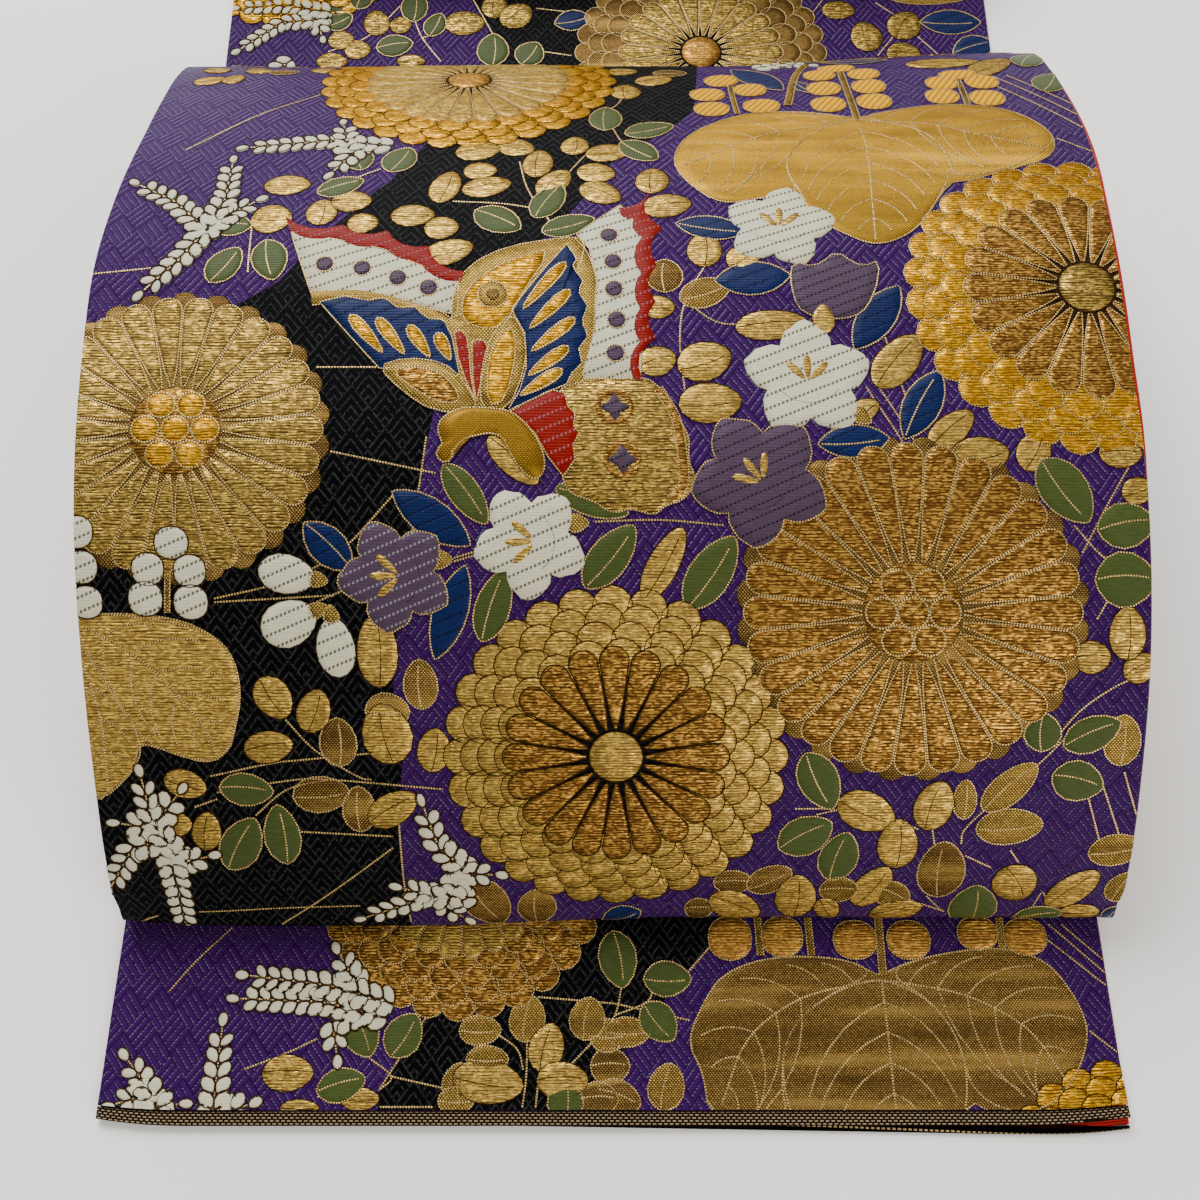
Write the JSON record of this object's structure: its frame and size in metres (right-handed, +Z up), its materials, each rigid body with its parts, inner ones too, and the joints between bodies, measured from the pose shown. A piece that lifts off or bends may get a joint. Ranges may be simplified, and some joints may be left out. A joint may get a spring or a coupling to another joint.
{
  "type": "obi sash",
  "caption": "Fukuro obi in patterned brocade, arranged flat as a hollow drum bow with its tare flap in front and the rest folded in a stack behind.",
  "frame": {"origin": "bottom centre of the whole object's box, on the surface it lies on", "axes": "+Z up, +X across the cloth to the viewer's right, +Y from the tare end towards the folded stack"},
  "size_m": [0.3146, 0.8204, 0.0979],
  "materials": {
    "brocade": "purple and black brocade with gold and coloured motifs",
    "lining": "plain red weave",
    "woven_border": "black weave with rows of pale gold dashes"
  },
  "bodies": {
    "root": {"tare_face": "brocade", "tare_lining": "lining", "tare_border_face": "woven_border", "tare_border_lining": "woven_border", "taiko_face": "brocade", "taiko_lining": "lining", "upper_face": "brocade", "upper_lining": "lining", "folded_layers": "lining", "te_face": "brocade", "te_lining": "lining", "te_border_face": "woven_border", "te_border_lining": "woven_border"}
  },
  "joints": []
}
